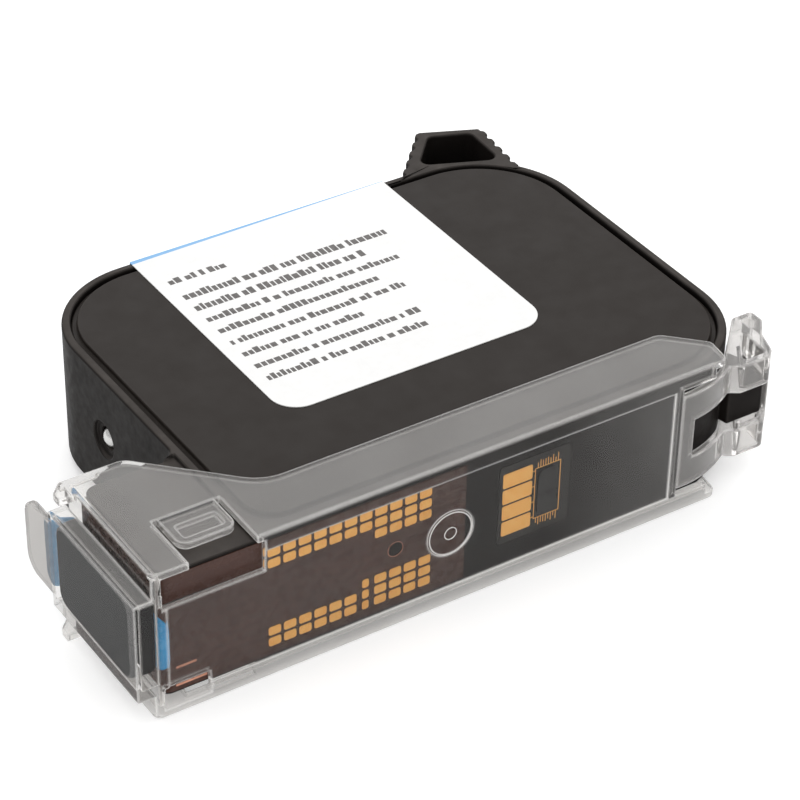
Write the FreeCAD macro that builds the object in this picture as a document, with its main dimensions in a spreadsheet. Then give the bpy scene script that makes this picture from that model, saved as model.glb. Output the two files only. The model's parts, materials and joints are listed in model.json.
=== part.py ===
import FreeCAD, Part
import math
import os
import re
import Sketcher

# A thermal inkjet cartridge of the spring-bag kind, lying on its side, with its clear
# snap-fit cap in place.  Datum frame while drawing: X runs along the contact side, from the
# nozzle end to the latch end, Y from the contact face to the grip side, Z up through the
# thickness.  Zero is the cap's front corner at the nozzle end, on the face the part lies on.
# Every piece then gets one shared placement, which puts the origin under the middle.

doc = FreeCAD.newDocument("InkCartridge")
sheet = doc.addObject("Spreadsheet::Sheet", "Dims")

sizes = {
    # outer frame of the cartridge
    "body_length": 71.4,
    "body_depth": 54.85,
    "body_thick": 18.0,
    "front_radius": 13.0,
    "back_radius": 13.5,
    "left_radius": 13.0,
    "edge_round": 0.35,
    "rim_width": 1.1,
    "ledge_width": 2.1,
    "shoulder_radius": 4.0,
    # snout that carries the printhead
    "snout_length": 11.7,
    "snout_depth": 17.65,
    "snout_step": 0.5,
    "snout_radius": 1.5,
    "nose_radius": 1.2,
    "nose_wall": 2.4,
    "passage_front": 3.2,
    "passage_depth": 11.4,
    "passage_height": 10.0,
    # ribbed grip on the back corner
    "grip_base": 16.7,
    "grip_reach": 8.1,
    "grip_near": 8.9,
    "grip_far": 1.6,
    "grip_drop": 3.2,
    "grip_heel": 2.9,
    "grip_heel_drop": 5.9,
    "grip_wall": 1.6,
    "grip_web": 3.0,
    "rib_depth": 0.45,
    # lug that the latch snaps over
    "lug_reach": 1.0,
    "lug_front": 1.55,
    "lug_depth": 3.4,
    "lug_height": 5.0,
    "lug_slope": 1.4,
    # covers
    "cover_lip": 0.5,
    "cover_rise": 0.7,
    "cover_fit": 0.05,
    "groove_width": 0.8,
    # ink bag and its spring
    "liner_wall": 1.0,
    "liner_fit": 0.15,
    "film_thick": 0.1,
    "plate_thick": 0.5,
    "plate_fit": 0.12,
    "plate_margin": 5.0,
    "plate_radius": 6.0,
    "spring_thick": 0.3,
    "spring_width": 14.0,
    "spring_span": 38.0,
    "spring_gap": 0.1,
    # filter
    "filter_length": 3.0,
    "filter_frame": 2.0,
    "screen_thick": 0.2,
    # printhead
    "die_length": 12.9,
    "die_width": 5.6,
    "die_thick": 0.7,
    "die_clear": 0.25,
    "glue_thick": 0.1,
    "ink_slot": 1.2,
    "nozzle_thick": 0.05,
    "flex_thick": 0.1,
    "flex_edge": 0.4,
    "flex_margin": 4.7,
    "flex_tail": 0.9,
    "bead_width": 0.8,
    "trace_length": 3.9,
    "trace_width": 0.3,
    # contacts on the flexible circuit
    "pad_start": 14.9,
    "pad_pitch": 1.98,
    "pad_length": 1.6,
    "pad_height": 1.2,
    "row_edge": 1.75,
    "row_pitch": 1.55,
    "align_radius": 0.95,
    "gold_thick": 0.05,
    # identification chip
    "chip_left": 44.9,
    "chip_length": 10.0,
    "chip_height": 11.2,
    "board_thick": 0.4,
    "chip_pocket": 0.45,
    "key_length": 4.1,
    "key_pitch": 2.3,
    "key_gap": 0.25,
    "glob_length": 2.9,
    "glob_height": 6.6,
    "glob_rise": 0.25,
    # label
    "label_start": 1.6,
    "label_stop": 6.4,
    "label_depth": 37.2,
    "label_radius": 3.5,
    "label_thick": 0.1,
    "label_fold": 14.0,
    # fill port
    "port_shift": 5.45,
    "port_radius": 1.5,
    "port_ring": 2.4,
    "port_sink": 0.5,
    "ball_fit": 0.01,
    "ball_depth": 1.65,
    # nozzle tape
    "tape_lift": 0.12,
    "tape_thick": 0.1,
    "tape_height": 9.6,
    "tape_wrap": 0.3,
    "tape_tail": 5.0,
    # clear cap
    "cap_wall": 1.0,
    "cap_clear": 0.125,
    "front_gap": 0.35,
    "nose_gap": 0.9,
    "latch_root": 0.8,
    "flange_depth": 8.45,
    "hood_over": 0.9,
    "hood_corner": 6.0,
    "flange_edge": 0.8,
    "flange_tip": 6.7,
    "flange_tip_depth": 3.9,
    "flange_tip_cut": 4.5,
    "ear_reach": 2.9,
    "ear_depth": 3.0,
    "lip_drop": 0.45,
    "lip_length": 6.2,
    "rail_height": 2.4,
    "panel_sink": 0.2,
    "rib_width": 1.2,
    "rail_drop": 1.4,
    "end_reach": 3.0,
    "end_wall": 0.85,
    "flap_reach": 6.1,
    "flap_height": 10.2,
    "flap_radius": 2.5,
    "gate_x": 37.6,
    "gate_radius": 3.1,
    "gate_sink": 0.15,
    # rubber pad that closes the nozzles
    "seal_front": 2.0,
    "seal_over": 0.2,
    "seal_fit": 0.1,
    "seal_gap": 0.2,
    "seal_radius": 2.0,
    # corner windows and their snap tongues
    "window_left": 3.9,
    "window_right": 12.3,
    "window_depth": 8.35,
    "window_front_left": 0.4,
    "window_front_right": 13.3,
    "window_drop": 5.25,
    "window_sill": 1.6,
    "notch_right": 6.2,
    "notch_rise": 3.9,
    "tongue_side": 0.6,
    "tongue_front": 3.0,
    "tongue_radius": 1.4,
    "tongue_frame": 1.1,
    "tongue_sink": 0.5,
    # latch
    "latch_gap": 1.0,
    "latch_bend": 30.0,
    "latch_clear": 0.3,
    "slot_start": 2.1,
    "slot_clear": 0.2,
    "loop_wall": 1.1,
    "loop_front": 1.5,
    "band_run": 0.8,
    "loop_span": 5.1,
    "loop_grip": 3.1,
    "loop_back": 10.4,
    "loop_knee": 4.3,
    "hook_reach": 0.7,
    "hook_place": 6.7,
    "hook_length": 1.0,
}

# Places that follow from the sizes above.
places = {
    "mid_z": "cap_wall + cap_clear + body_thick / 2",
    "cap_high": "2 * mid_z",
    "body_low": "cap_wall + cap_clear",
    "body_high": "body_low + body_thick",
    "body_left": "nose_gap + snout_length",
    "body_right": "body_left + body_length",
    "body_front": "cap_wall + front_gap",
    "body_back": "body_front + body_depth",
    "snout_back": "body_front + snout_depth",
    "snout_high": "body_thick / 2 - snout_step",
    "flex_height": "2 * (snout_high - flex_edge)",
    "row_far": "flex_height / 2 - row_edge",
    "cover_thick": "cover_lip + cover_rise",
    "bag_half": "body_thick / 2 - cover_thick",
    "wall_width": "rim_width + ledge_width",
    "plate_half": "bag_half - film_thick - plate_fit",
    "passage_mid": "body_front + passage_front + passage_depth / 2",
    "passage_left": "nose_gap + nose_wall",
    "filter_right": "body_left + wall_width - screen_thick",
    "port_y": "(snout_back + body_back - left_radius) / 2 + port_shift",
    "label_left": "body_left + left_radius + label_start",
    "label_right": "body_right - back_radius - label_stop",
    "label_front": "body_back - label_depth",
    "latch_height": "cap_high - 2 * (cap_wall + rail_drop + latch_gap)",
    "slot_height": "lug_height + 2 * slot_clear",
    "seal_half": "latch_height / 2 - end_wall - seal_fit",
    "tape_out": "tape_lift + tape_thick",
    "latch_in": "front_radius + front_gap",
    "latch_out": "front_radius + body_front",
    "corner_x": "body_right - front_radius",
    "corner_y": "body_front + front_radius",
    "cap_front_length": "corner_x - latch_root",
    "hood_depth": "snout_back + hood_over",
    "hood_right": "body_left - hood_corner",
    "hood_slope": "hood_right + hood_depth - flange_depth",
    "flap_depth": "hood_depth + flap_reach",
    "slot_left": "cap_front_length + slot_start",
    "slot_right": "body_right + lug_reach + latch_clear",
    "loop_left": "slot_right - loop_span",
    "loop_right": "slot_right + cap_clear",
    "part_right": "slot_right + loop_grip",
    "part_back": "body_back + grip_reach",
}


def fill_sheet():
    """Write every driving size into the sheet, one row each."""
    for row, (name, size) in enumerate(sizes.items(), start=1):
        sheet.set("A%d" % row, name)
        sheet.set("B%d" % row, str(size))
        sheet.setAlias("B%d" % row, name)
    doc.recompute()


def formula(text):
    """Write out named places and point named sizes at the sheet."""
    def swap(match):
        word = match.group(0)
        if word in places:
            return "(" + formula(places[word]) + ")"
        return "Dims." + word if word in sizes else word
    return re.sub(r"[a-z_][a-z_0-9]*", swap, text)


def value(text):
    """The number that a formula gives with the sheet's present sizes."""
    return float(sheet.evalExpression(formula(text)))


def new_body(name):
    body = doc.addObject("PartDesign::Body", name)
    body.Label = name
    return body


def new_sketch(body, plane, start):
    """A sketch on one of the body's own origin planes, lifted to the place named start."""
    support = next(item for item in body.Origin.OriginFeatures if item.Role == plane + "_Plane")
    sketch = body.newObject("Sketcher::SketchObject", body.Label + "_sketch")
    sketch.AttachmentSupport = (support, [""])
    sketch.MapMode = "FlatFace"
    # The normal of the XZ plane points to -Y.
    sign = "-" if plane == "XZ" else ""
    sketch.setExpression("AttachmentOffset.Base.z", formula("%s(%s)" % (sign, start)))
    return sketch


def hold(sketch, kind, item, text):
    """Add one driven dimension to the sketch."""
    index = sketch.addConstraint(Sketcher.Constraint(kind, *item, value(text)))
    sketch.setExpression("Constraints[%d]" % index, formula(text))


def draw_outline(sketch, corners):
    """Draw a closed outline from corners (x, y) or (x, y, radius), each held by its formulas."""
    points = [FreeCAD.Vector(value(corner[0]), value(corner[1]), 0) for corner in corners]
    count = len(points)
    starts, ends, tops = [], [], []
    for index, point in enumerate(points):
        back = (points[index - 1] - point).normalize()
        ahead = (points[(index + 1) % count] - point).normalize()
        radius = value(corners[index][2]) if len(corners[index]) > 2 else 0
        half = back.getAngle(ahead) / 2
        run = radius / math.tan(half)
        starts.append(point + back * run)
        ends.append(point + ahead * run)
        tops.append(point + (back + ahead).normalize() * (radius / math.sin(half) - radius))
    lines = []
    for index in range(count):
        line = Part.LineSegment(ends[index], starts[(index + 1) % count])
        lines.append(sketch.addGeometry(line, False))
    for index, corner in enumerate(corners):
        before, after = lines[index - 1], lines[index]
        if len(corner) > 2:
            arc = Part.Arc(starts[index], tops[index], ends[index])
            arc_id = sketch.addGeometry(arc, False)
            held = sketch.addGeometry(Part.Point(points[index]), True)
            # A sketch arc always starts where a counter-clockwise walk enters it.
            near = 1 if (ends[index] - points[index]).cross(starts[index] - points[index]).z > 0 else 2
            sketch.addConstraint(Sketcher.Constraint("Tangent", before, 2, arc_id, near))
            sketch.addConstraint(Sketcher.Constraint("Tangent", arc_id, 3 - near, after, 1))
            sketch.addConstraint(Sketcher.Constraint("PointOnObject", held, 1, before))
            sketch.addConstraint(Sketcher.Constraint("PointOnObject", held, 1, after))
            hold(sketch, "Radius", (arc_id,), corner[2])
        else:
            sketch.addConstraint(Sketcher.Constraint("Coincident", before, 2, after, 1))
            held = after
        hold(sketch, "DistanceX", (-1, 1, held, 1), corner[0])
        hold(sketch, "DistanceY", (-1, 1, held, 1), corner[1])


def draw_circle(sketch, centre_x, centre_y, radius):
    centre = FreeCAD.Vector(value(centre_x), value(centre_y), 0)
    circle = Part.Circle(centre, FreeCAD.Vector(0, 0, 1), value(radius))
    item = sketch.addGeometry(circle, False)
    hold(sketch, "Radius", (item,), radius)
    hold(sketch, "DistanceX", (-1, 1, item, 3), centre_x)
    hold(sketch, "DistanceY", (-1, 1, item, 3), centre_y)


def extrude(body, sketch, plane, length, cut):
    """Pad or pocket a sketch; both run towards +X, +Y or +Z from the sketch's place."""
    kind = "Pocket" if cut else "Pad"
    feature = body.newObject("PartDesign::" + kind, body.Label + "_" + kind.lower())
    feature.Profile = sketch
    feature.Reversed = (plane == "XZ") != cut
    feature.setExpression("Length", formula(length))
    return feature


def add(body, plane, corners, start, length, cut=False):
    sketch = new_sketch(body, plane, start)
    draw_outline(sketch, corners)
    return extrude(body, sketch, plane, length, cut)


def cut(body, plane, corners, start, length):
    return add(body, plane, corners, start, length, True)


def cut_round(body, plane, centre, radius, start, length):
    sketch = new_sketch(body, plane, start)
    draw_circle(sketch, centre[0], centre[1], radius)
    return extrude(body, sketch, plane, length, True)


def round_edges(body, radius, chosen):
    """Fillet the edges of the body's present shape that the function chosen picks."""
    doc.recompute()
    base = body.Tip
    names = ["Edge%d" % number for number, edge in enumerate(base.Shape.Edges, start=1)
             if chosen(edge)]
    fillet = body.newObject("PartDesign::Fillet", body.Label + "_round")
    fillet.Base = (base, names)
    fillet.setExpression("Radius", formula(radius))


def lies_flat(heights):
    """Pick edges that lie level at one of the heights."""
    levels = [value(height) for height in heights]

    def chosen(edge):
        box = edge.BoundBox
        return any(abs(box.ZMin - level) < 1e-4 and abs(box.ZMax - level) < 1e-4 for level in levels)
    return chosen


def box(left, front, right, back, radius=None):
    """Corners of a rectangle, with rounded corners if a radius is named."""
    corners = [(left, front), (right, front), (right, back), (left, back)]
    return [corner + (radius,) for corner in corners] if radius else corners


def from_mid(side, near, thick):
    """Lower face of a layer that starts at a distance from the middle plane, on one side."""
    return "mid_z + %s" % near if side > 0 else "mid_z - (%s) - (%s)" % (near, thick)


def cover_corners(inset):
    """The covers' rounded outline, moved inwards from the frame's outline by inset."""
    inset = "(%s)" % inset
    left, right = "body_left + " + inset, "body_right - " + inset
    front, back = "body_front + " + inset, "body_back - " + inset
    return [
        (left, front, "shoulder_radius"),
        (right, front, "front_radius - " + inset),
        (right, back, "back_radius - " + inset),
        (left, back, "left_radius - " + inset),
    ]


def serrate(start, end, count):
    """A toothed edge from start to end; the teeth stand to the left of the way along it."""
    run_x, run_y = "((%s) - (%s))" % (end[0], start[0]), "((%s) - (%s))" % (end[1], start[1])
    length = "sqrt(%s ^ 2 + %s ^ 2)" % (run_x, run_y)
    corners = []
    for tooth in range(count):
        for part, lift in ((0.25, 0), (0.4, 1), (0.8, 1), (1.0, 0)):
            along = (tooth + part) / count
            x = "(%s) + %s * %.4f" % (start[0], run_x, along)
            y = "(%s) + %s * %.4f" % (start[1], run_y, along)
            if lift:
                x += " - rib_depth * %s / %s" % (run_y, length)
                y += " + rib_depth * %s / %s" % (run_x, length)
            corners.append((x, y))
    return corners


def grip_corners():
    """The grip's four corners, from its foot on the back edge round to its heel."""
    foot = ("body_right - grip_base", "body_back - edge_round")
    near = ("body_right - grip_near", "body_back + grip_reach")
    far = ("body_right - grip_far", "body_back + grip_reach - grip_drop")
    heel = ("body_right - grip_heel", "body_back - grip_heel_drop")
    return foot, near, far, heel


def make_frame():
    """Outer frame: the ring between the covers, with snout, grip and latch lug in one."""
    body = new_body("body_frame")
    outline = [
        ("nose_gap", "body_front", "nose_radius"),
        ("body_right", "body_front", "front_radius"),
        ("body_right", "body_back", "back_radius"),
        ("body_left", "body_back", "left_radius"),
        ("body_left", "snout_back", "snout_radius"),
        ("nose_gap", "snout_back", "snout_radius"),
    ]
    add(body, "XY", outline, "body_low", "body_thick")
    round_edges(body, "edge_round", lies_flat(["body_low", "body_high"]))
    foot, near, far, heel = grip_corners()
    # Drawn clockwise from the foot, so that the teeth point outwards.
    grip = [foot] + serrate(foot, near, 5) + [far] + serrate(far, heel, 5)[:-1] + [heel]
    add(body, "XY", grip, "body_low", "body_thick")
    for side in (1, -1):
        step_start = from_mid(side, "snout_high", "snout_step")
        step = box("nose_gap - snout_step", "body_front - snout_step", "body_left", "snout_back")
        cut(body, "XY", step, step_start, "snout_step")
        recess_start = from_mid(side, "bag_half", "cover_thick")
        cut(body, "XY", cover_corners("rim_width"), recess_start, "cover_thick")
        hollow = [
            ("%s + grip_wall * 2" % foot[0], "body_back + grip_wall * 0.7", "rim_width"),
            ("%s + grip_wall * 0.2" % near[0], "%s - grip_wall" % near[1], "rim_width"),
            ("%s - grip_wall" % far[0], "%s - grip_wall * 0.3" % far[1], "rim_width"),
            ("%s - grip_wall * 0.5" % heel[0], "%s + grip_wall * 1.8" % heel[1], "rim_width"),
        ]
        depth = "body_thick / 2 - grip_web / 2"
        cut(body, "XY", hollow, from_mid(side, "grip_web / 2", depth), depth)
    cut(body, "XY", cover_corners("wall_width"), "body_low", "body_thick")
    passage = box("passage_left", "body_front + passage_front", "body_left + wall_width + rim_width",
                  "body_front + passage_front + passage_depth")
    cut(body, "XY", passage, "mid_z - passage_height / 2", "passage_height")
    slot = box("nose_gap", "passage_mid - die_length / 2 + die_clear + rim_width",
               "passage_left + rim_width", "passage_mid + die_length / 2 - die_clear - rim_width")
    cut(body, "XY", slot, "mid_z - ink_slot / 2", "ink_slot")
    seat = box("passage_mid - die_length / 2 - die_clear", "mid_z - die_width / 2 - die_clear",
               "passage_mid + die_length / 2 + die_clear", "mid_z + die_width / 2 + die_clear")
    cut(body, "YZ", seat, "nose_gap", "die_thick + glue_thick + nozzle_thick")
    chip_seat = box("chip_left", "mid_z - chip_height / 2", "chip_left + chip_length",
                    "mid_z + chip_height / 2", "rib_depth")
    cut(body, "XZ", chip_seat, "body_front", "chip_pocket")
    port = ("port_y", "mid_z")
    cut_round(body, "YZ", port, "port_ring", "body_left", "port_sink")
    cut_round(body, "YZ", port, "port_radius", "body_left", "wall_width")
    lug = [
        ("corner_x + front_radius * 0.6", "body_front + front_radius * 0.4"),
        ("body_right - front_radius / 3", "body_front + lug_front"),
        ("body_right + lug_reach", "body_front + lug_front", "rib_depth"),
        ("body_right + lug_reach", "body_front + lug_front + lug_depth / 2"),
        ("body_right + lug_reach - lug_slope", "body_front + lug_front + lug_depth"),
        ("body_right - wall_width / 2", "body_front + front_radius * 0.6"),
    ]
    add(body, "XY", lug, "mid_z - lug_height / 2", "lug_height")
    return body


def make_cover(name, side):
    """Side cover: a lip that lies in the frame's recess and a raised panel inside a groove."""
    body = new_body(name)
    lip = cover_corners("rim_width + cover_fit")
    add(body, "XY", lip, from_mid(side, "bag_half", "cover_lip"), "cover_lip")
    panel = cover_corners("rim_width + groove_width")
    add(body, "XY", panel, from_mid(side, "bag_half + cover_lip", "cover_rise"), "cover_rise")
    outer = "body_high" if side > 0 else "body_low"
    round_edges(body, "edge_round / 2", lies_flat([outer]))
    return body


def make_label():
    """Paper label on the upper cover, folded down over the back edge."""
    body = new_body("label")
    top = [
        ("label_left", "label_front", "label_radius"),
        ("label_right", "label_front", "label_radius"),
        ("label_right", "body_back + label_thick"),
        ("label_left", "body_back + label_thick"),
    ]
    add(body, "XY", top, "body_high", "label_thick")
    fold = box("label_left", "body_back", "label_right", "body_back + label_thick")
    add(body, "XY", fold, "body_high - label_fold", "label_fold")
    return body


def make_liner():
    """Inner frame that the two bag films are welded to, open towards the snout."""
    body = new_body("inner_liner")
    outer = cover_corners("wall_width + liner_fit")
    inner = cover_corners("wall_width + liner_fit + liner_wall")
    height = "2 * (bag_half - film_thick)"
    start = "mid_z - (bag_half - film_thick)"
    add(body, "XY", outer, start, height)
    cut(body, "XY", inner, start, height)
    mouth = box("body_left + wall_width", "body_front + passage_front + filter_frame",
                "body_left + wall_width + liner_fit + liner_wall * 2",
                "body_front + passage_front + passage_depth - filter_frame")
    cut(body, "XY", mouth, "mid_z - passage_height / 2 + filter_frame",
        "passage_height - 2 * filter_frame")
    return body


def make_film(name, side):
    """Bag wall, drawn flat as on a full bag, between the liner and its cover."""
    body = new_body(name)
    start = from_mid(side, "bag_half - film_thick", "film_thick")
    add(body, "XY", cover_corners("wall_width + liner_fit"), start, "film_thick")
    return body


def bag_box(margin):
    """A rounded rectangle inside the bag, held off the liner by margin."""
    inset = "wall_width + liner_wall + %s" % margin
    return box("body_left + " + inset, "body_front + " + inset,
               "body_right - (%s)" % inset, "body_back - (%s)" % inset, "plate_radius")


def make_pressure_plate(name, side):
    """Stiff plate that the bow spring holds against the bag wall."""
    body = new_body(name)
    start = from_mid(side, "plate_half - plate_thick", "plate_thick")
    add(body, "XY", bag_box("plate_margin"), start, "plate_thick")
    return body


def make_bow_spring(name, side):
    """Leaf spring bowed from the middle plane up to its plate, as an arc of three points."""
    spring = doc.addObject("Part::Feature", name)
    spring.Label = name
    middle_x, middle_y = value("(body_left + body_right) / 2"), value("(body_front + body_back) / 2")
    mid_z, width, span = value("mid_z"), value("spring_width"), value("spring_span")
    thick, gap = value("spring_thick"), value("spring_gap")
    rise = value("plate_half - plate_thick") - gap

    def bow(lift):
        low, high = mid_z + side * (gap + lift), mid_z + side * (rise - thick + lift)
        front = middle_y - width / 2
        points = [FreeCAD.Vector(middle_x - span / 2, front, low), FreeCAD.Vector(middle_x, front, high),
                  FreeCAD.Vector(middle_x + span / 2, front, low)]
        return Part.Arc(*points).toShape(), points[0], points[2]
    inner, inner_start, inner_end = bow(0)
    outer, outer_start, outer_end = bow(thick)
    ends = [Part.makeLine(inner_start, outer_start), Part.makeLine(outer_end, inner_end)]
    section = Part.Face(Part.Wire(Part.__sortEdges__([inner, outer] + ends)))
    spring.Shape = section.extrude(FreeCAD.Vector(0, width, 0))
    return spring


def make_filter_carrier():
    """Frame pressed into the ink passage, which carries the filter screen."""
    body = new_body("filter_carrier")
    front = "body_front + passage_front + liner_fit"
    back = "body_front + passage_front + passage_depth - liner_fit"
    outer = box("filter_right - filter_length", front, "filter_right", back)
    half = "(passage_height / 2 - liner_fit)"
    add(body, "XY", outer, "mid_z - " + half, "2 * " + half)
    inner = box("filter_right - filter_length", front + " + filter_frame", "filter_right",
                back + " - filter_frame")
    cut(body, "XY", inner, "mid_z - %s + filter_frame" % half, "2 * %s - 2 * filter_frame" % half)
    return body


def make_filter_screen():
    """Woven steel filter screen, welded to the carrier's bag side."""
    body = new_body("filter_screen")
    margin = "filter_frame / 2"
    screen = box("body_front + passage_front + " + margin, "mid_z - passage_height / 2 + " + margin,
                 "body_front + passage_front + passage_depth - " + margin,
                 "mid_z + passage_height / 2 - " + margin)
    add(body, "YZ", screen, "filter_right", "screen_thick")
    return body


def die_box(grow):
    """Rectangle in the nozzle face, larger than the printhead chip by grow all round."""
    return box("passage_mid - die_length / 2 - " + grow, "mid_z - die_width / 2 - " + grow,
               "passage_mid + die_length / 2 + " + grow, "mid_z + die_width / 2 + " + grow)


def make_die_parts():
    """Adhesive, silicon chip and nozzle plate, stacked in the seat of the nozzle face."""
    glue = new_body("die_adhesive")
    add(glue, "YZ", die_box("0"), "nose_gap + nozzle_thick + die_thick", "glue_thick")
    die = new_body("printhead_die")
    add(die, "YZ", die_box("0"), "nose_gap + nozzle_thick", "die_thick")
    ink_way = box("passage_mid - die_length / 2 + die_clear + rim_width", "mid_z - ink_slot / 4",
                  "passage_mid + die_length / 2 - die_clear - rim_width", "mid_z + ink_slot / 4")
    cut(glue, "YZ", ink_way, "nose_gap + nozzle_thick + die_thick", "glue_thick")
    cut(die, "YZ", ink_way, "nose_gap + nozzle_thick", "die_thick")
    plate = new_body("nozzle_plate")
    add(plate, "YZ", die_box("0"), "nose_gap", "nozzle_thick")
    return glue, die, plate


def folded_strip(lift, thick, back, right):
    """Section of a strip that lies on the nozzle face and folds round onto the contact face."""
    out = "(%s + %s)" % (lift, thick)
    return [
        ("nose_gap - " + out, back),
        ("nose_gap - " + out, "body_front - " + out, "nose_radius + " + out),
        (right, "body_front - " + out),
        (right, "body_front - " + lift),
        ("nose_gap - " + lift, "body_front - " + lift, "nose_radius + " + lift),
        ("nose_gap - " + lift, back),
    ]


def make_flex():
    """Flexible circuit: window round the printhead chip, fold, then the contact field."""
    body = new_body("flex_circuit")
    section = folded_strip("0", "flex_thick", "snout_back - flex_tail",
                           "pad_start + 10 * pad_pitch + pad_length / 2 + flex_margin")
    add(body, "XY", section, "mid_z - flex_height / 2", "flex_height")
    cut(body, "YZ", die_box("die_clear"), "nose_gap - 2 * flex_thick", "3 * flex_thick")
    cut_round(body, "XZ", ("pad_start + 8 * pad_pitch", "mid_z"), "align_radius",
              "body_front - flex_thick", "flex_thick")
    return body


def make_beads():
    """Two beads of encapsulant over the leads at the ends of the printhead chip."""
    rise, width, height = value("tape_lift"), value("bead_width"), value("die_width")
    far = value("die_length / 2 + die_clear")
    starts = (value("passage_mid") - far, value("passage_mid") + far - width)
    return [Part.makeBox(rise, width, height, FreeCAD.Vector(value("nose_gap") - rise, start,
                                                             value("mid_z") - height / 2))
            for start in starts]


def group(name, shapes):
    """One node that holds several like solids."""
    feature = doc.addObject("Part::Feature", name)
    feature.Label = name
    feature.Shape = Part.makeCompound(shapes)
    return feature


def tile(left, low, length, height, face, thick, radius):
    """A small plate with rounded corners, standing on a face that looks towards -Y."""
    plate = Part.makeBox(length, thick, height, FreeCAD.Vector(left, face - thick, low))
    corners = [edge for edge in plate.Edges if edge.BoundBox.YLength > thick * 0.9]
    return plate.makeFillet(radius, corners)


def make_contact_pads():
    """Gold contacts: two rows above and below, three beside the alignment hole, one column narrow."""
    length, height, thick = value("pad_length"), value("pad_height"), value("gold_thick")
    face, middle = value("body_front - flex_thick"), value("mid_z")
    pads = []
    for column in range(11):
        centre = value("pad_start") + column * value("pad_pitch")
        for side in (1, -1):
            narrow = column == 6 and side < 0
            width = length * 0.55 if narrow else length
            for row in range(3 if column > 6 or narrow else 2):
                low = middle + side * (value("row_far") - row * value("row_pitch")) - height / 2
                pads.append(tile(centre - width / 2, low, width, height, face, thick, height / 4))
    return group("contact_pads", pads)


def make_traces():
    """Two bare copper strips at the fold of the flexible circuit."""
    face, thick, width = value("body_front - flex_thick"), value("gold_thick"), value("trace_width")
    left, length = value("nose_gap + nose_radius + tape_wrap"), value("trace_length")
    low = value("mid_z - flex_height / 2")
    strips = [tile(left, low + lift, length * share, width, face, thick, width / 4)
              for lift, share in ((width * 2, 1.0), (width * 11, 0.65))]
    return group("copper_strips", strips)


def make_chip():
    """Identification chip: board, four stacked contacts and the drop of resin over the die."""
    board = new_body("chip_board")
    fit = "cover_fit"
    plate = box("chip_left + " + fit, "mid_z - chip_height / 2 + " + fit,
                "chip_left + chip_length - " + fit, "mid_z + chip_height / 2 - " + fit, "rib_depth")
    add(board, "XZ", plate, "body_front + chip_pocket - board_thick", "board_thick")
    face = value("body_front + chip_pocket - board_thick")
    pitch, gap = value("key_pitch"), value("key_gap")
    keys = [tile(value("chip_left") + 2 * gap, value("mid_z") + row * pitch + gap / 2, value("key_length"),
                 pitch - gap, face, value("gold_thick"), gap) for row in range(-2, 2)]
    contacts = group("chip_contacts", keys)
    resin = new_body("chip_resin")
    drop = box("chip_left + key_length + key_gap * 5", "mid_z - glob_height / 2",
               "chip_left + key_length + key_gap * 5 + glob_length", "mid_z + glob_height / 2",
               "glob_length / 3")
    add(resin, "XZ", drop, "body_front + chip_pocket - board_thick - glob_rise", "glob_rise")
    return board, contacts, resin


def make_ball():
    """Steel ball pressed into the fill port."""
    ball = doc.addObject("Part::Sphere", "ball_plug")
    ball.Label = "ball_plug"
    ball.setExpression("Radius", formula("port_radius - ball_fit"))
    return ball


def make_tape():
    """Protective tape over the nozzles, with a free tail to pull it by."""
    body = new_body("nozzle_tape")
    section = folded_strip("tape_lift", "tape_thick", "snout_back + tape_tail",
                           "nose_gap + nose_radius + tape_wrap - tape_thick")
    add(body, "XY", section, "mid_z - tape_height / 2", "tape_height")
    return body


def flange_corners():
    """The cap's flange: deep over the snout, narrow along the body, clipped at the latch."""
    right = "cap_front_length + flange_tip"
    return [
        ("0 - flange_edge", "0", "cap_wall"),
        (right + " - cap_clear * 4", "0", "cap_wall"),
        (right, "flange_tip_depth", "cap_wall"),
        (right + " - flange_tip_cut", "flange_depth", "cap_wall * 2"),
        ("hood_slope", "flange_depth", "cap_wall * 6"),
        ("hood_right", "hood_depth", "cap_wall * 2.5"),
        ("0 - ear_reach / 2", "hood_depth", "ear_reach / 4"),
        ("0 - ear_reach", "hood_depth - ear_depth / 2", "ear_reach / 4"),
        ("0 - ear_reach", "hood_depth - ear_depth", "cap_wall / 4"),
        ("0 - flange_edge", "hood_depth - ear_depth", "cap_wall / 4"),
    ]


def end_section():
    """Section of the cap's nozzle end: risers, steps and the plate that backs the seal."""
    low, high = "mid_z - latch_height / 2", "mid_z + latch_height / 2"
    return [
        ("0 - flange_edge", "cap_wall / 2"),
        ("0 - flange_edge", low),
        ("0 - end_reach", low),
        ("0 - end_reach", high),
        ("0 - flange_edge", high),
        ("0 - flange_edge", "cap_high - cap_wall / 2"),
        ("end_wall - flange_edge", "cap_high - cap_wall / 2"),
        ("end_wall - flange_edge", high + " - end_wall"),
        ("end_wall - end_reach", high + " - end_wall"),
        ("end_wall - end_reach", low + " + end_wall"),
        ("end_wall - flange_edge", low + " + end_wall"),
        ("end_wall - flange_edge", "cap_wall / 2"),
    ]


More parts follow.
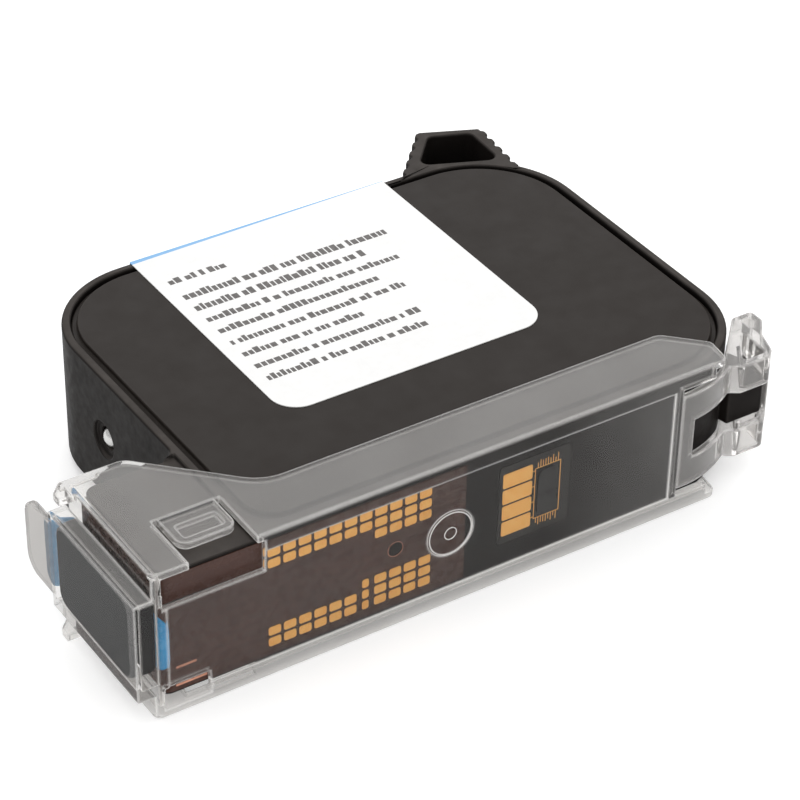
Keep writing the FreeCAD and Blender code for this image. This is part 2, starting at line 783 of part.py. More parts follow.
def make_cap_shell():
    """Clear cap: front plate, two flanges, nozzle end with its pull flap."""
    body = new_body("cap_shell")
    add(body, "XZ", box("0", "0", "cap_front_length", "cap_high"), "0", "cap_wall")
    cut(body, "XZ", box("cap_wall", "rail_height", "cap_front_length - rib_width",
                        "cap_high - rail_height"), "0", "panel_sink")
    gap = box("window_front_left", "cap_high - window_drop", "window_front_right", "cap_high")
    notch = box("window_front_left", "0", "notch_right", "notch_rise")
    for opening in (gap, notch):
        cut(body, "XZ", opening, "0", "cap_wall")
    add(body, "XZ", end_section(), "0", "hood_depth")
    add(body, "XZ", box("0 - end_reach", "mid_z - latch_height / 2", "cap_wall / 2",
                        "mid_z + latch_height / 2"), "0", "end_wall")
    flap = [
        ("hood_depth - flap_radius", "mid_z - flap_height / 2"),
        ("flap_depth", "mid_z - flap_height / 2", "flap_radius"),
        ("flap_depth", "mid_z + flap_height / 2", "flap_radius"),
        ("hood_depth - flap_radius", "mid_z + flap_height / 2"),
    ]
    add(body, "YZ", flap, "0 - end_reach", "end_wall")
    for side in (1, -1):
        add(body, "XY", flange_corners(), from_mid(side, "mid_z - cap_wall", "cap_wall"), "cap_wall")
        lip_drop = from_mid(side, "mid_z - cap_wall - lip_drop", "lip_drop + cap_wall / 2")
        lip = box("0 - ear_reach / 2", "hood_depth - end_wall / 2", "lip_length - ear_reach",
                  "hood_depth", "cap_clear")
        add(body, "XY", lip, lip_drop, "lip_drop + cap_wall / 2")
        skirt = box("cap_front_length - cap_wall / 2", "0",
                    "cap_front_length + flange_tip - cap_wall * 2", "cap_wall")
        add(body, "XY", skirt, from_mid(side, "mid_z - cap_wall - rail_drop", "rail_drop + cap_wall / 2"),
            "rail_drop + cap_wall / 2")
        # The lower window stops short of the front edge, which the upper one cuts through.
        window_front = "0" if side > 0 else "window_sill"
        window = box("window_left", window_front, "window_right", "window_depth")
        cut(body, "XY", window, from_mid(side, "mid_z - cap_wall", "cap_wall"), "cap_wall")
    gate = ("gate_x", "mid_z")
    cut_round(body, "XZ", gate, "gate_radius", "panel_sink", "gate_sink")
    return body


def make_tongue(name, side):
    """Snap tongue that springs out of the back edge of a corner window."""
    body = new_body(name)
    left, right = "window_left + tongue_side", "window_right - tongue_side"
    outline = [
        (left, "tongue_front", "tongue_radius"),
        (right, "tongue_front", "tongue_radius"),
        (right, "window_depth"),
        (left, "window_depth"),
    ]
    add(body, "XY", outline, from_mid(side, "mid_z - cap_wall", "cap_wall"), "cap_wall")
    inner = box(left + " + tongue_frame", "tongue_front + tongue_frame", right + " - tongue_frame",
                "tongue_front + tongue_frame * 3", "tongue_radius / 4")
    cut(body, "XY", inner, from_mid(side, "mid_z - tongue_sink", "tongue_sink"), "tongue_sink")
    return body


def make_seal():
    """Rubber pad in the cap's nozzle end."""
    body = new_body("cap_seal")
    face = box("seal_front", "mid_z - seal_half", "snout_back + seal_over", "mid_z + seal_half",
               "seal_radius")
    length = "end_reach - end_wall + nose_gap - tape_out - seal_gap"
    add(body, "YZ", face, "end_wall - end_reach", length)
    return body


def bend_point(radius):
    """End of the band, a little past its bend, on the side with the named radius."""
    return (
        "corner_x + %s * sin(latch_bend * 1 deg) + band_run * cos(latch_bend * 1 deg)" % radius,
        "corner_y - %s * cos(latch_bend * 1 deg) + band_run * sin(latch_bend * 1 deg)" % radius,
    )


def make_latch():
    """Latch: a band bent round the body's corner, a slot for the lug and a finger loop."""
    body = new_body("cap_latch")
    bend = "tan(latch_bend / 2 * 1 deg)"
    outline = [
        ("cap_front_length", "0"),
        ("corner_x + latch_out * " + bend, "0", "latch_out"),
        bend_point("latch_out"),
        ("loop_left", "loop_front", "loop_wall / 2"),
        ("loop_right - loop_wall", "loop_front", "loop_wall"),
        ("loop_right", "loop_front + loop_wall", "loop_wall"),
        ("loop_right + loop_wall", "loop_front + loop_knee", "loop_wall"),
        ("part_right", "loop_back - loop_wall * 2", "loop_wall / 2"),
        ("part_right", "loop_back", "loop_wall / 2"),
        ("loop_right", "loop_back", "loop_wall / 2"),
        bend_point("latch_in"),
        ("corner_x + latch_in * " + bend, "cap_wall", "latch_in"),
        ("cap_front_length", "cap_wall"),
    ]
    low = "mid_z - latch_height / 2"
    add(body, "XY", outline, low, "latch_height")
    finger_hole = [
        ("loop_left + loop_wall * 0.7", "loop_front + loop_wall", "loop_wall / 3"),
        ("loop_right - loop_wall", "loop_front + loop_wall", "loop_wall / 3"),
        ("loop_right - loop_wall / 2", "loop_back - loop_wall * 2.2", "loop_wall / 3"),
    ]
    tip_hole = [
        ("loop_right + loop_wall * 0.6", "loop_back - loop_wall * 3", "loop_wall / 5"),
        ("part_right - loop_wall", "loop_back - loop_wall * 1.7", "loop_wall / 5"),
        ("part_right - loop_wall", "loop_back - loop_wall", "loop_wall / 5"),
        ("loop_right + loop_wall * 0.6", "loop_back - loop_wall", "loop_wall / 5"),
    ]
    cut(body, "XY", finger_hole, low, "latch_height")
    cut(body, "XY", tip_hole, low, "latch_height")
    slot = box("slot_left", "0 - cap_wall", "slot_right", "loop_back + cap_wall")
    cut(body, "XY", slot, "mid_z - slot_height / 2", "slot_height")
    # The lower arm is shorter than the upper one, which ends in the finger tab.
    lower_height = "latch_height / 2 + slot_height / 2"
    beyond = box("loop_right + loop_wall / 2", "0 - cap_wall", "part_right + cap_wall",
                 "loop_back + cap_wall")
    cut(body, "XY", beyond, low, lower_height)
    behind = box("loop_left", "hook_place + hook_length", "part_right", "loop_back + cap_wall")
    cut(body, "XY", behind, low, lower_height)
    hook = box("slot_right - hook_reach", "hook_place", "slot_right + loop_wall / 4",
               "hook_place + hook_length")
    add(body, "XY", hook, "mid_z - slot_height / 2", "slot_height")
    return body


fill_sheet()
pieces = [make_frame(), make_cover("cover_upper", 1), make_cover("cover_lower", -1)]
pieces += [make_label(), make_liner()]
for name, maker in (("bag_film", make_film), ("pressure_plate", make_pressure_plate),
                    ("bow_spring", make_bow_spring)):
    pieces += [maker(name + "_upper", 1), maker(name + "_lower", -1)]
pieces += [make_filter_carrier(), make_filter_screen(), *make_die_parts(), make_flex()]
pieces += [group("encapsulant_beads", make_beads()), make_contact_pads(), make_traces(), *make_chip()]
pieces += [make_ball(), make_tape(), make_cap_shell(), make_tongue("snap_tongue_upper", 1)]
pieces += [make_tongue("snap_tongue_lower", -1), make_seal(), make_latch()]

# The row's origin lies under the middle of the whole outline.
shift = {"x": "0 - (part_right - end_reach) / 2", "y": "0 - part_back / 2", "z": "0"}
own_place = {"ball_plug": {"x": "body_left + ball_depth", "y": "port_y", "z": "mid_z"}}
for piece in pieces:
    for axis in shift:
        place = "%s + %s" % (shift[axis], own_place.get(piece.Label, {}).get(axis, "0"))
        piece.setExpression("Placement.Base." + axis, formula(place))
doc.recompute()

for item in doc.Objects:
    if "Invalid" in item.State or "Error" in item.State:
        raise RuntimeError("failed object: " + item.Label)
    if item.TypeId == "PartDesign::Pocket" and item.Shape.Volume >= item.BaseFeature.Shape.Volume - 1e-6:
        raise RuntimeError("pocket cuts nothing: " + item.Label)

os.makedirs("parts", exist_ok=True)
for piece in pieces:
    if piece.Shape.isNull() or not piece.Shape.isValid():
        raise RuntimeError("bad shape: " + piece.Label)
    piece.Shape.exportStep(os.path.join("parts", piece.Label + ".step"))

    print("%-22s solids %3d  volume %10.2f" % (piece.Label, len(piece.Shape.Solids), piece.Shape.Volume))
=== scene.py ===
import bmesh
import bpy
import json
import math
import numpy as np
from mathutils import Matrix, Vector
from mathutils.bvhtree import BVHTree


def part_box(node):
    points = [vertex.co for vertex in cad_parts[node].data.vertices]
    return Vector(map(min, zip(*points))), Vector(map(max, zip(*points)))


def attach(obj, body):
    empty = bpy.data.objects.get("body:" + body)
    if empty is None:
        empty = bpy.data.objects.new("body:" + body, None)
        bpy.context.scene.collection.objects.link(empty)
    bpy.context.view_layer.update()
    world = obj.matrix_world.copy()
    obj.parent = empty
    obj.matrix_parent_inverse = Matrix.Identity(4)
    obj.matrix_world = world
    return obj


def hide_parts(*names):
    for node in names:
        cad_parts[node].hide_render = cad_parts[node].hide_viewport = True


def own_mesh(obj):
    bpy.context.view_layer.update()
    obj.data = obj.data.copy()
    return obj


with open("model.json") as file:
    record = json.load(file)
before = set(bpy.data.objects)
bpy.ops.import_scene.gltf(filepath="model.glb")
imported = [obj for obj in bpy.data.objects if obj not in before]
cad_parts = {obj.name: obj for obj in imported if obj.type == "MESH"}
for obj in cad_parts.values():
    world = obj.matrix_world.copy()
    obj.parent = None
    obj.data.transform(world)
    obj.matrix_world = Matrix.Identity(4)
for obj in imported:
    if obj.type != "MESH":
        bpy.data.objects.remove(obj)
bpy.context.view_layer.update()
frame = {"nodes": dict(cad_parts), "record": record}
nodes = frame["nodes"]
mm = 0.001
print("frame loaded:", len(nodes), "nodes")


# Plain pale floor, soft light from above and behind.
cameraView = {
    "place": (-0.1517, -0.24255, 0.2125),
    "right": (0.84003, -0.54230, 0.01599),
    "up": (0.30516, 0.49665, 0.81253),
    "lens": 129.5,
    "sensor": 36.0,
    "nearest": 10 * mm,
}


def makeCamera(view):
    data = bpy.data.cameras.new("camera")
    data.lens = view["lens"]
    data.sensor_width = view["sensor"]
    data.clip_start = view["nearest"]
    camera = bpy.data.objects.new("camera", data)
    bpy.context.scene.collection.objects.link(camera)
    right, up = Vector(view["right"]).normalized(), Vector(view["up"]).normalized()
    back = right.cross(up)
    turn = Matrix((right, up, back)).transposed().to_4x4()
    camera.matrix_world = Matrix.Translation(view["place"]) @ turn
    bpy.context.scene.camera = camera


studio = {
    "skyStrength": 0.75,
    "skyColour": (1.0, 0.995, 0.99),
    "floorColour": (0.93, 0.93, 0.93),
    "floorGlow": 0.36,
    "floorRough": 0.95,
    "floorSpecular": 0.1,
    "floorHalf": 4.0,
    "floorDrop": 0.2 * mm,  # keeps the floor clear of the cap's lowest face
    # name: place, aimed-at point, width, height, watts
    "lamps": {
        "backSoftbox": ((0.30, 0.55, 0.42), (0, 0, 0.01), 0.60, 0.35, 1.3),
        "topSoftbox": ((-0.10, -0.05, 0.75), (0, 0, 0), 0.55, 0.55, 1.1),
        "frontSoftbox": ((-0.25, -0.60, 0.22), (0, -0.02, 0.01), 0.45, 0.30, 0.25),
    },
}


def makeStudio(kit):
    world = bpy.data.worlds.new("studioWorld")
    world.use_nodes = True
    background = world.node_tree.nodes["Background"]
    background.inputs["Color"].default_value = (*kit["skyColour"], 1)
    background.inputs["Strength"].default_value = kit["skyStrength"]
    bpy.context.scene.world = world
    bpy.context.scene.view_settings.view_transform = "Standard"
    for name, (place, aim, width, height, watts) in kit["lamps"].items():
        data = bpy.data.lights.new(name, "AREA")
        data.shape = "RECTANGLE"
        data.size, data.size_y, data.energy = width, height, watts
        lamp = bpy.data.objects.new(name, data)
        bpy.context.scene.collection.objects.link(lamp)
        toward = Vector(aim) - Vector(place)
        lamp.matrix_world = Matrix.Translation(place) @ toward.to_track_quat("-Z", "Y").to_matrix().to_4x4()
    half = kit["floorHalf"]
    corners = np.array([(-half, -half, 0), (half, -half, 0), (half, half, 0), (-half, half, 0)])
    floorMesh = bpy.data.meshes.new("floor")
    floorMesh.from_pydata(corners.tolist(), [], [(0, 1, 2, 3)])
    floor = bpy.data.objects.new("floor", floorMesh)
    floor.location.z = -kit["floorDrop"]
    bpy.context.scene.collection.objects.link(floor)
    finish = Finish("floorPaper")
    finish.set(Base_Color=(*kit["floorColour"], 1), Roughness=kit["floorRough"])
    finish.set(Specular_IOR_Level=kit["floorSpecular"])
    finish.set(Emission_Color=(1, 1, 1, 1), Emission_Strength=kit["floorGlow"])
    floorMesh.materials.append(finish.material)


class Finish:
    # A material built from nodes on Object coordinates, in metres, and the node moves that all share.
    edgeSamples = 4
    edgeTurn = (0.90, 0.995)  # cosine of the turn: a full edge, and an open face
    wornShare = (0.25, 0.9)  # how much of an edge is worn, from patch to patch

    def __init__(self, name):
        self.material = bpy.data.materials.new(name)
        self.material.use_nodes = True
        self.tree = self.material.node_tree
        self.shader = self.tree.nodes["Principled BSDF"]
        self.out = self.tree.nodes["Material Output"]
        self.place = self.tree.nodes.new("ShaderNodeTexCoord").outputs["Object"]

    def set(self, **values):
        for name, value in values.items():
            self.shader.inputs[name.replace("_", " ")].default_value = value
        return self

    def join(self, source, target):
        self.tree.links.new(source, target)

    def noise(self, size, detail=3.0, rough=0.55, stretch=None):
        # Noise whose grains are about size metres across, pulled out along an axis if asked.
        node = self.tree.nodes.new("ShaderNodeTexNoise")
        node.inputs["Scale"].default_value = 1 / size
        node.inputs["Detail"].default_value = detail
        node.inputs["Roughness"].default_value = rough
        place = self.place
        if stretch:
            mapping = self.tree.nodes.new("ShaderNodeMapping")
            mapping.inputs["Scale"].default_value = stretch
            self.join(place, mapping.inputs["Vector"])
            place = mapping.outputs["Vector"]
        self.join(place, node.inputs["Vector"])
        return node.outputs["Fac"]

    def span(self, source, low, high, start=0.3, stop=0.7):
        # source from start..stop carried to low..high, clamped.
        node = self.tree.nodes.new("ShaderNodeMapRange")
        for name, value in (("From Min", start), ("From Max", stop), ("To Min", low), ("To Max", high)):
            node.inputs[name].default_value = value
        self.join(source, node.inputs["Value"])
        return node.outputs["Result"]

    def maths(self, kind, first, second=None):
        node = self.tree.nodes.new("ShaderNodeMath")
        node.operation = kind
        for socket, value in zip(node.inputs, (first, second)):
            if hasattr(value, "is_output"):
                self.join(value, socket)
            elif value is not None:
                socket.default_value = value
        return node.outputs[0]

    def axis(self, letter):
        node = self.tree.nodes.new("ShaderNodeSeparateXYZ")
        self.join(self.place, node.inputs[0])
        return node.outputs[letter]

    def facing(self, letter):
        # The surface's own direction along an axis, from -1 to 1.
        node = self.tree.nodes.new("ShaderNodeSeparateXYZ")
        self.join(self.tree.nodes.new("ShaderNodeNewGeometry").outputs["Normal"], node.inputs[0])
        return node.outputs[letter]

    def mix(self, factor, first, second):
        # Colour first where factor is 0, second where it is 1.
        node = self.tree.nodes.new("ShaderNodeMix")
        node.data_type = "RGBA"
        self.join(factor, node.inputs["Factor"])
        for socket, value in ((node.inputs[6], first), (node.inputs[7], second)):
            if hasattr(value, "is_output"):
                self.join(value, socket)
            else:
                socket.default_value = (*value, 1)
        return node.outputs[2]

    def colour(self, source):
        self.join(source, self.shader.inputs["Base Color"])
        return self

    def roughness(self, source):
        self.join(source, self.shader.inputs["Roughness"])
        return self

    def bump(self, source, depth, strength=1.0):
        node = self.tree.nodes.new("ShaderNodeBump")
        node.inputs["Distance"].default_value = depth
        node.inputs["Strength"].default_value = strength
        self.join(source, node.inputs["Height"])
        self.join(node.outputs["Normal"], self.shader.inputs["Normal"])
        return self

    def nearEdge(self, reach):
        # 1 where the surface turns within reach of the point, 0 on the open face.
        rolled = self.tree.nodes.new("ShaderNodeBevel")
        rolled.samples = self.edgeSamples
        rolled.inputs["Radius"].default_value = reach
        along = self.tree.nodes.new("ShaderNodeVectorMath")
        along.operation = "DOT_PRODUCT"
        self.join(rolled.outputs["Normal"], along.inputs[0])
        self.join(self.tree.nodes.new("ShaderNodeNewGeometry").outputs["True Normal"], along.inputs[1])
        return self.span(along.outputs["Value"], 1, 0, *self.edgeTurn)

    def edgeWear(self, base, worn, reach=0.3 * mm, patch=2.2 * mm):
        # Along the edges base goes to worn, broken up by noise.
        patchy = self.maths("MULTIPLY", self.nearEdge(reach), self.span(self.noise(patch), *self.wornShare))
        return self.mix(patchy, base, worn)


frameLook = {
    "deep": (0.0080, 0.0066, 0.0060),
    "pale": (0.0125, 0.0105, 0.0095),
    "worn": (0.060, 0.054, 0.050),
    # painted highlight: the paler colour laid on the faces that look up
    "paintedTopSheen": (0.066, 0.058, 0.053),
    "topSheenFacing": (0.6, 0.98),  # how squarely a face looks up where the painted highlight starts, and where it is full
    "topSheenShare": (0.6, 1.0),
    "toneGrain": 6 * mm,
    "topSheenGrain": 4 * mm,
    "glossGrain": 1.1 * mm,
    "rough": (0.42, 0.56),
    "sparkGrain": 0.28 * mm,
    "sparkDepth": 0.007 * mm,
    "specular": 0.05,
}


def blackFrame(look):
    # Moulded black: spark-eroded grain, a grey bloom along the handled edges, and a painted highlight: a
    # paler colour, broken into patches, on the faces that look up.
    f = Finish("frameBlack")
    tone = f.mix(f.span(f.noise(look["toneGrain"]), 0, 1), look["deep"], look["pale"])
    # Painted highlight: the faces that look up are made paler in patches, as if lit from above.
    upward = f.span(f.facing("Z"), 0, 1, *look["topSheenFacing"])
    paintedSheen = f.maths("MULTIPLY", upward, f.span(f.noise(look["topSheenGrain"]), *look["topSheenShare"]))
    f.colour(f.edgeWear(f.mix(paintedSheen, tone, look["paintedTopSheen"]), look["worn"]))
    f.roughness(f.span(f.noise(look["glossGrain"]), *look["rough"]))
    f.bump(f.noise(look["sparkGrain"], 2), look["sparkDepth"], 0.5)
    return f.set(Specular_IOR_Level=look["specular"]).material


coverLook = {
    "deep": (0.0222, 0.0175, 0.0148),
    "pale": (0.0246, 0.0196, 0.0168),
    "worn": (0.060, 0.054, 0.048),
    "toneGrain": 18 * mm,
    "glossGrain": 3 * mm,
    "rough": (0.50, 0.57),
    "satinGrain": 0.16 * mm,
    "satinDepth": 0.004 * mm,
    "specular": 0.13,
}


def coverGrey(look):
    # Satin side cover: very fine even grain, a little paler than the frame.
    f = Finish("coverGrey")
    tone = f.mix(f.span(f.noise(look["toneGrain"], 4), 0, 1), look["deep"], look["pale"])
    f.colour(f.edgeWear(tone, look["worn"]))
    f.roughness(f.span(f.noise(look["glossGrain"]), *look["rough"]))
    f.bump(f.noise(look["satinGrain"], 2), look["satinDepth"], 0.5)
    return f.set(Specular_IOR_Level=look["specular"]).material


# Both clear parts: how their faces are rubbed, misted, tinted, polished and waved.
clearGrain = {
    "flatFacing": (0.6, 0.95),
    "rub": 11 * mm,
    "rubShare": (0.75, 1.0),
    "mist": 6 * mm,
    "mistShare": (0.55, 1.0),
    "tint": 9 * mm,
    "polish": 3 * mm,
    "rough": (0.012, 0.045),
    "wave": 9 * mm,
    "waveStretch": (1, 1, 0.4),
    "waveDepth": 0.04 * mm,
    "waveStrength": 0.10,
    "shadow": (0.90, 0.90, 0.90),
}


def clearPlastic(name, look):
    # Moulded clear plastic: faces that lie flat on things are rubbed hazy, the upright walls stay clear,
    # with faint flow waves. Lamps pass straight through it, as they do through a thin clear wall.
    f = Finish(name)
    grain = clearGrain
    flat = f.span(f.maths("ABSOLUTE", f.facing("Z")), 0, 1, *grain["flatFacing"])
    # Near the edges the plastic is made pale and less clear: partly milky edges, partly a painted edge
    # highlight.
    milkyEdgeAndHighlight = f.maths("MULTIPLY", f.nearEdge(look["edgeReach"]), look["edge"])
    rubbed = f.maths("MULTIPLY", flat, f.span(f.noise(grain["rub"], 3), *grain["rubShare"]))
    if look["mist"]:
        # a frosty patch that grows towards the latch end
        startX, stopX, haze = look["mist"]
        mist = f.span(f.axis("X"), 0, haze, startX, stopX)
        patchy = f.span(f.noise(grain["mist"], 4), *grain["mistShare"])
        rubbed = f.maths("MAXIMUM", rubbed, f.maths("MULTIPLY", mist, patchy))
    if look["flap"]:
        # the pull flap is milkier than the walls
        flapX, flapY, haze = look["flap"]
        atEnd = f.maths("LESS_THAN", f.axis("X"), flapX)
        behind = f.maths("GREATER_THAN", f.axis("Y"), flapY)
        onFlap = f.maths("MULTIPLY", atEnd, behind)
        rubbed = f.maths("MAXIMUM", rubbed, f.maths("MULTIPLY", onFlap, haze))
    walls = f.span(rubbed, look["clear"], look["rubbed"], 0, 1)
    through = f.maths("MULTIPLY", walls, f.maths("SUBTRACT", 1.0, milkyEdgeAndHighlight))
    f.join(through, f.shader.inputs["Transmission Weight"])
    wallTint = f.mix(f.span(f.noise(grain["tint"]), 0, 1), look["tint"], look["paleTint"])
    if look["flap"]:
        wallTint = f.mix(onFlap, wallTint, look["flapTint"])
    # the edges take the pale tint: milkiness and painted highlight together
    f.colour(f.mix(milkyEdgeAndHighlight, wallTint, look["edgeMilkAndHighlightTint"]))
    f.roughness(f.span(f.noise(grain["polish"], 3, 0.6), *grain["rough"], 0.5, 0.85))
    waves = f.noise(grain["wave"], 1, 0.4, grain["waveStretch"])
    f.bump(waves, grain["waveDepth"], grain["waveStrength"])
    f.set(IOR=look["ior"])
    path = f.tree.nodes.new("ShaderNodeLightPath")
    passing = f.tree.nodes.new("ShaderNodeBsdfTransparent")
    passing.inputs["Color"].default_value = (*grain["shadow"], 1)
    chosen = f.tree.nodes.new("ShaderNodeMixShader")
    f.join(path.outputs["Is Shadow Ray"], chosen.inputs["Fac"])
    f.join(f.shader.outputs["BSDF"], chosen.inputs[1])
    f.join(passing.outputs["BSDF"], chosen.inputs[2])
    f.join(chosen.outputs["Shader"], f.out.inputs["Surface"])
    return f.material


# clear and rubbed are the shares of light let through by an upright wall and by a rubbed flat face.
capLook = {
    "clear": 0.988,
    "rubbed": 0.872,
    "tint": (0.82, 0.805, 0.79),
    "paleTint": (0.88, 0.87, 0.855),
    "ior": 1.15,
    # edge and its tint paint the edges pale: milky edges and a painted edge highlight
    "edge": 0.72,
    "edgeReach": 0.36 * mm,
    "edgeMilkAndHighlightTint": (0.97, 0.955, 0.94),
    "flap": (-44.6 * mm, -12.2 * mm, 1.6),  # left of this X and behind this Y, and how hazy
    "flapTint": (0.48, 0.465, 0.45),
    "mist": (10 * mm, 27 * mm, 0.50),  # X where it starts and where it is full, and how hazy
}
latchLook = {
    "clear": 0.83,
    "rubbed": 0.76,
    "tint": (0.66, 0.645, 0.63),
    "paleTint": (0.76, 0.745, 0.73),
    "ior": 1.24,
    # edge and its tint paint the edges pale: milky edges and a painted edge highlight
    "edge": 0.60,
    "edgeReach": 0.45 * mm,
    "edgeMilkAndHighlightTint": (0.90, 0.885, 0.87),
    "flap": None,
    "mist": None,
}


labelLook = {
    "paper": (0.93, 0.93, 0.925),
    "shade": (0.90, 0.90, 0.895),
    "stripe": (0.21, 0.47, 0.80),
    "stripeEdge": 23.45 * mm,  # the stripe starts just before the fold and goes down the back
    "stripeEnds": (-15.5 * mm, 21.4 * mm),
    "stripeSlant": 0.62 * mm,  # how much narrower it is at its right end
    "fibre": 0.9 * mm,
    "rough": (0.36, 0.48),
    "roughGrain": 3 * mm,
    "bumpGrain": 0.45 * mm,
    "bumpDepth": 0.008 * mm,
    "specular": 0.4,
}


def labelPaper(look):
    # Coated paper with a blue band that thins out along the back edge.
    f = Finish("labelPaper")
    fibres = f.mix(f.span(f.noise(look["fibre"], 4), 0, 1), look["paper"], look["shade"])
    slant = f.span(f.axis("X"), 0.0, look["stripeSlant"], *look["stripeEnds"])
    band = f.maths("GREATER_THAN", f.axis("Y"), f.maths("ADD", slant, look["stripeEdge"]))
    f.colour(f.mix(band, fibres, look["stripe"]))
    f.roughness(f.span(f.noise(look["roughGrain"]), *look["rough"]))
    f.bump(f.noise(look["bumpGrain"], 3), look["bumpDepth"], 0.4)
    return f.set(Specular_IOR_Level=look["specular"]).material


filmLook = {
    "copper": (0.083, 0.038, 0.028),
    "between": (0.064, 0.028, 0.020),
    "dark": (0.054, 0.025, 0.019),
    "lines": 260,  # the higher, the closer together
    "wander": 2.2,
    "wanderGrain": 0.35,
    "patchGrain": 10 * mm,
    "rough": (0.22, 0.34),
    "roughGrain": 1.4 * mm,
    "ridge": 0.01 * mm,
    "specular": 0.22,
}


def polyimideFilm(look):
    # Brown film over etched copper: parallel conductors show as darker and coppery lines.
    f = Finish("polyimideFilm")
    wave = f.tree.nodes.new("ShaderNodeTexWave")
    wave.bands_direction = "Z"
    wave.inputs["Scale"].default_value = look["lines"]
    wave.inputs["Distortion"].default_value = look["wander"]
    wave.inputs["Detail"].default_value = 1.0
    wave.inputs["Detail Scale"].default_value = look["wanderGrain"]
    f.join(f.place, wave.inputs["Vector"])
    lines = f.span(wave.outputs["Fac"], 0, 1, 0.35, 0.65)
    film = f.mix(lines, look["between"], look["copper"])
    patches = f.span(f.noise(look["patchGrain"], 2), 0, 1)
    f.colour(f.mix(patches, film, look["dark"]))
    f.roughness(f.span(f.noise(look["roughGrain"]), *look["rough"]))
    f.bump(wave.outputs["Fac"], look["ridge"], 0.5)
    return f.set(Specular_IOR_Level=look["specular"]).material


goldLook = {
    "deep": (0.95, 0.46, 0.105),
    "pale": (1.0, 0.56, 0.155),
    "rubGrain": 1.1 * mm,
    "rough": (0.34, 0.52),
    "roughGrain": 0.5 * mm,
    "dent": 0.3 * mm,
    "dentDepth": 0.02 * mm,
    "metal": 0.4,
}


def goldPlate(look):
    # Satin gold: hammered pads with rubbed contact marks.
    f = Finish("goldPlate")
    worn = f.span(f.noise(look["rubGrain"], 3), 0, 1)
    f.colour(f.mix(worn, look["deep"], look["pale"]))
    f.roughness(f.span(f.noise(look["roughGrain"]), *look["rough"]))
    f.bump(f.noise(look["dent"]), look["dentDepth"], 0.6)
    return f.set(Metallic=look["metal"]).material


def plain(name, pale, deep, grain, rough, metal=0.0, bumpDepth=0.01 * mm, **more):
    # One moulded, rolled or cast finish: two tones in a grain, uneven roughness, a fine bump.
    f = Finish(name)
    f.colour(f.mix(f.span(f.noise(grain * 6), 0, 1), deep, pale))
    f.roughness(f.span(f.noise(grain * 2), *rough))
    f.bump(f.noise(grain), bumpDepth, 0.5)
    return f.set(Metallic=metal, **more).material


def brushed(name, pale, deep, stretch, rough):
    # Rolled or brushed metal: noise pulled out along the rolling direction.
    f = Finish(name)
    lines = f.noise(0.4 * mm, 4, 0.6, stretch)
    f.colour(f.mix(f.span(lines, 0, 1), deep, pale))
    f.roughness(f.span(lines, *rough))
    f.bump(lines, 0.006 * mm, 0.4)
    return f.set(Metallic=1.0).material


meshLook = {
    "pitch": 0.25 * mm,
    "gap": (0.08, 0.08, 0.08),
    "wire": (0.45, 0.45, 0.44),
    "rough": (0.3, 0.5),
    "roughGrain": 1 * mm,
    "ridge": 0.03 * mm,
}


def wovenMesh(look):
    # Fine steel weave across the filter screen: wires as two crossed sine ridges.
    f = Finish("wovenMesh")
    wires = []
    for letter in ("Y", "Z"):
        turns = f.maths("SINE", f.maths("MULTIPLY", f.axis(letter), 2 * math.pi / look["pitch"]))
        wires.append(f.maths("ABSOLUTE", turns))
    weave = f.maths("MULTIPLY", *wires)
    f.colour(f.mix(weave, look["gap"], look["wire"]))
    f.roughness(f.span(f.noise(look["roughGrain"]), *look["rough"]))
    f.bump(weave, look["ridge"], 0.8)
    return f.set(Metallic=0.9).material


tapeLook = {
    "deep": (0.005, 0.24, 0.56),
    "pale": (0.02, 0.38, 0.78),
    "toneGrain": 4 * mm,
    "rough": (0.16, 0.32),
    "roughGrain": 1 * mm,
    "creaseGrain": 1.2 * mm,
    "creaseDepth": 0.02 * mm,
    "specular": 0.55,
    "coat": 0.2,
}


def blueTape(look):
    # Blue release tape: a thin glossy film with faint creases.
    f = Finish("blueTape")
    f.colour(f.mix(f.span(f.noise(look["toneGrain"]), 0, 1), look["deep"], look["pale"]))
    f.roughness(f.span(f.noise(look["roughGrain"]), *look["rough"]))
    f.bump(f.noise(look["creaseGrain"], 2), look["creaseDepth"], 0.5)
    return f.set(Specular_IOR_Level=look["specular"], Coat_Weight=look["coat"]).material


